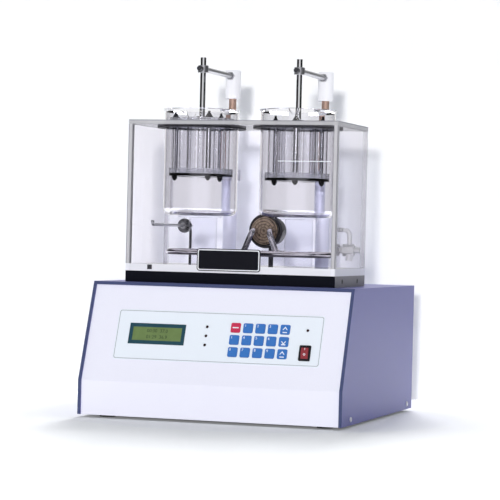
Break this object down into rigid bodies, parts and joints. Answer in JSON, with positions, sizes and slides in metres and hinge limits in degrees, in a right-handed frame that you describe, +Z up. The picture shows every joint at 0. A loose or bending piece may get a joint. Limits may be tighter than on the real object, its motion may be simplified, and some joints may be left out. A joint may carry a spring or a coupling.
{
  "type": "tablet disintegration tester",
  "caption": "Bench tablet disintegration tester: two basket racks of glass tubes dip into beakers in a clear water bath on a cabinet with a display and keypad.",
  "frame": {"origin": "on the bench plane under the middle of the cabinet", "axes": "+X to the right seen from the front, +Y to the back (the control panel faces -Y), +Z up"},
  "size_m": [0.38, 0.384, 0.5055],
  "materials": {
    "cover_paint": "satin",
    "panel_paint": "satin",
    "zinc_steel": "satin",
    "foot_rubber": "matte",
    "screw_steel": "polished",
    "overlay_film": "matte",
    "display_frame": "gloss",
    "lamp_red": "gloss",
    "switch_black": "satin",
    "rocker_red": "gloss",
    "board_green": "matte",
    "motor_black": "satin",
    "column_metal": "satin",
    "bush_plastic": "matte",
    "plinth_metal": "satin",
    "fascia_black": "satin",
    "plate_black": "satin",
    "clear_acrylic": "polished",
    "beaker_glass": "polished",
    "seal_rubber": "matte",
    "plug_bronze": "satin",
    "heater_chrome": "polished",
    "probe_steel": "satin",
    "fitting_plastic": "satin",
    "lead_black": "matte",
    "crosshead_metal": "satin",
    "rod_brass": "polished",
    "cap_white": "satin",
    "arm_steel": "satin",
    "cam_steel": "satin",
    "rack_chrome": "polished",
    "plate_acrylic": "polished",
    "tube_glass": "polished",
    "knob_dark": "satin",
    "key_blue": "satin",
    "key_red": "satin"
  },
  "bodies": {
    "chassis": {"cabinet_cover": "cover_paint", "front_panel": "panel_paint", "rear_panel": "cover_paint", "chassis_base": "zinc_steel", "rubber_feet": "foot_rubber", "case_screws": "screw_steel", "control_overlay": "overlay_film", "display_module": "display_frame", "indicator_leds": "lamp_red", "power_switch_body": "switch_black", "control_board": "board_green", "power_transformer": "zinc_steel", "mains_inlet": "switch_black", "gearmotor": "motor_black", "motor_bracket": "zinc_steel", "guide_columns": "column_metal", "guide_bushes": "bush_plastic", "tank_plinth": "plinth_metal", "plinth_fascia": "fascia_black", "name_plate": "plate_black", "tank_shell": "clear_acrylic", "tank_lid": "clear_acrylic", "bath_seals": "seal_rubber", "beaker_pedestals": "clear_acrylic", "beakers": "beaker_glass", "heater_plug": "plug_bronze", "heater_element": "heater_chrome", "temperature_probe": "probe_steel", "drain_fitting": "fitting_plastic", "bath_leads": "lead_black"},
    "lift": {"crosshead": "crosshead_metal", "drive_rods": "rod_brass", "rod_caps": "cap_white", "support_arms": "arm_steel"},
    "cam": {"drive_cam": "cam_steel"},
    "roller": {"cam_roller": "cam_steel"},
    "left_rack": {"left_rack_frame": "rack_chrome", "left_rack_plates": "plate_acrylic", "left_rack_tubes": "tube_glass"},
    "right_rack": {"right_rack_frame": "rack_chrome", "right_rack_plates": "plate_acrylic", "right_rack_tubes": "tube_glass"},
    "left_knob": {"left_clamp_knob": "knob_dark"},
    "right_knob": {"right_clamp_knob": "knob_dark"},
    "rocker": {"power_rocker": "rocker_red"},
    "key_stop_body": {"key_stop": "key_red"},
    "key_1_body": {"key_1": "key_blue"},
    "key_2_body": {"key_2": "key_blue"},
    "key_3_body": {"key_3": "key_blue"},
    "key_up_body": {"key_up": "key_blue"},
    "key_start_body": {"key_start": "key_blue"},
    "key_4_body": {"key_4": "key_blue"},
    "key_5_body": {"key_5": "key_blue"},
    "key_6_body": {"key_6": "key_blue"},
    "key_down_body": {"key_down": "key_blue"},
    "key_0_body": {"key_0": "key_blue"},
    "key_7_body": {"key_7": "key_blue"},
    "key_8_body": {"key_8": "key_blue"},
    "key_9_body": {"key_9": "key_blue"},
    "key_enter_body": {"key_enter": "key_blue"}
  },
  "joints": [
    {"name": "lift_slide", "type": "slide", "parent": "chassis", "child": "lift", "axis": [0, 0, 1], "range_m": [-0.0275, 0.0275]},
    {"name": "cam_turn", "type": "hinge", "parent": "chassis", "child": "cam", "pos_m": [0, 0.078, 0.084], "axis": [0, 1, 0], "range_deg": [-91, 91]},
    {"name": "roller_spin", "type": "hinge", "parent": "lift", "child": "roller", "pos_m": [0, 0.078, 0.1375], "axis": [0, 1, 0], "continuous": true},
    {"name": "left_rack_height", "type": "slide", "parent": "lift", "child": "left_rack", "axis": [0, 0, 1], "range_m": [-0.008, 0.01]},
    {"name": "left_knob_turn", "type": "hinge", "parent": "lift", "child": "left_knob", "pos_m": [-0.0715, -0.05, 0.489], "axis": [0, 1, 0], "continuous": true},
    {"name": "right_rack_height", "type": "slide", "parent": "lift", "child": "right_rack", "axis": [0, 0, 1], "range_m": [-0.008, 0.01]},
    {"name": "right_knob_turn", "type": "hinge", "parent": "lift", "child": "right_knob", "pos_m": [0.0715, -0.05, 0.486], "axis": [0, 1, 0], "continuous": true},
    {"name": "rocker_tilt", "type": "hinge", "parent": "chassis", "child": "rocker", "pos_m": [0.1295, -0.17283, 0.09881], "axis": [1, 0, 0], "range_deg": [-16, 0]},
    {"name": "key_stop_press", "type": "slide", "parent": "chassis", "child": "key_stop_body", "axis": [0, 0.9377, -0.3473], "range_m": [0, 0.0004], "stiffness_N_per_m": 1500, "springref_m": -0.0003},
    {"name": "key_1_press", "type": "slide", "parent": "chassis", "child": "key_1_body", "axis": [0, 0.9377, -0.3473], "range_m": [0, 0.0004], "stiffness_N_per_m": 1500, "springref_m": -0.0003},
    {"name": "key_2_press", "type": "slide", "parent": "chassis", "child": "key_2_body", "axis": [0, 0.9377, -0.3473], "range_m": [0, 0.0004], "stiffness_N_per_m": 1500, "springref_m": -0.0003},
    {"name": "key_3_press", "type": "slide", "parent": "chassis", "child": "key_3_body", "axis": [0, 0.9377, -0.3473], "range_m": [0, 0.0004], "stiffness_N_per_m": 1500, "springref_m": -0.0003},
    {"name": "key_up_press", "type": "slide", "parent": "chassis", "child": "key_up_body", "axis": [0, 0.9377, -0.3473], "range_m": [0, 0.0004], "stiffness_N_per_m": 1500, "springref_m": -0.0003},
    {"name": "key_start_press", "type": "slide", "parent": "chassis", "child": "key_start_body", "axis": [0, 0.9377, -0.3473], "range_m": [0, 0.0004], "stiffness_N_per_m": 1500, "springref_m": -0.0003},
    {"name": "key_4_press", "type": "slide", "parent": "chassis", "child": "key_4_body", "axis": [0, 0.9377, -0.3473], "range_m": [0, 0.0004], "stiffness_N_per_m": 1500, "springref_m": -0.0003},
    {"name": "key_5_press", "type": "slide", "parent": "chassis", "child": "key_5_body", "axis": [0, 0.9377, -0.3473], "range_m": [0, 0.0004], "stiffness_N_per_m": 1500, "springref_m": -0.0003},
    {"name": "key_6_press", "type": "slide", "parent": "chassis", "child": "key_6_body", "axis": [0, 0.9377, -0.3473], "range_m": [0, 0.0004], "stiffness_N_per_m": 1500, "springref_m": -0.0003},
    {"name": "key_down_press", "type": "slide", "parent": "chassis", "child": "key_down_body", "axis": [0, 0.9377, -0.3473], "range_m": [0, 0.0004], "stiffness_N_per_m": 1500, "springref_m": -0.0003},
    {"name": "key_0_press", "type": "slide", "parent": "chassis", "child": "key_0_body", "axis": [0, 0.9377, -0.3473], "range_m": [0, 0.0004], "stiffness_N_per_m": 1500, "springref_m": -0.0003},
    {"name": "key_7_press", "type": "slide", "parent": "chassis", "child": "key_7_body", "axis": [0, 0.9377, -0.3473], "range_m": [0, 0.0004], "stiffness_N_per_m": 1500, "springref_m": -0.0003},
    {"name": "key_8_press", "type": "slide", "parent": "chassis", "child": "key_8_body", "axis": [0, 0.9377, -0.3473], "range_m": [0, 0.0004], "stiffness_N_per_m": 1500, "springref_m": -0.0003},
    {"name": "key_9_press", "type": "slide", "parent": "chassis", "child": "key_9_body", "axis": [0, 0.9377, -0.3473], "range_m": [0, 0.0004], "stiffness_N_per_m": 1500, "springref_m": -0.0003},
    {"name": "key_enter_press", "type": "slide", "parent": "chassis", "child": "key_enter_body", "axis": [0, 0.9377, -0.3473], "range_m": [0, 0.0004], "stiffness_N_per_m": 1500, "springref_m": -0.0003}
  ],
  "couplings": [
    {"joint": "cam_turn", "follows": "lift_slide", "rad_per_m": 57.12}
  ]
}
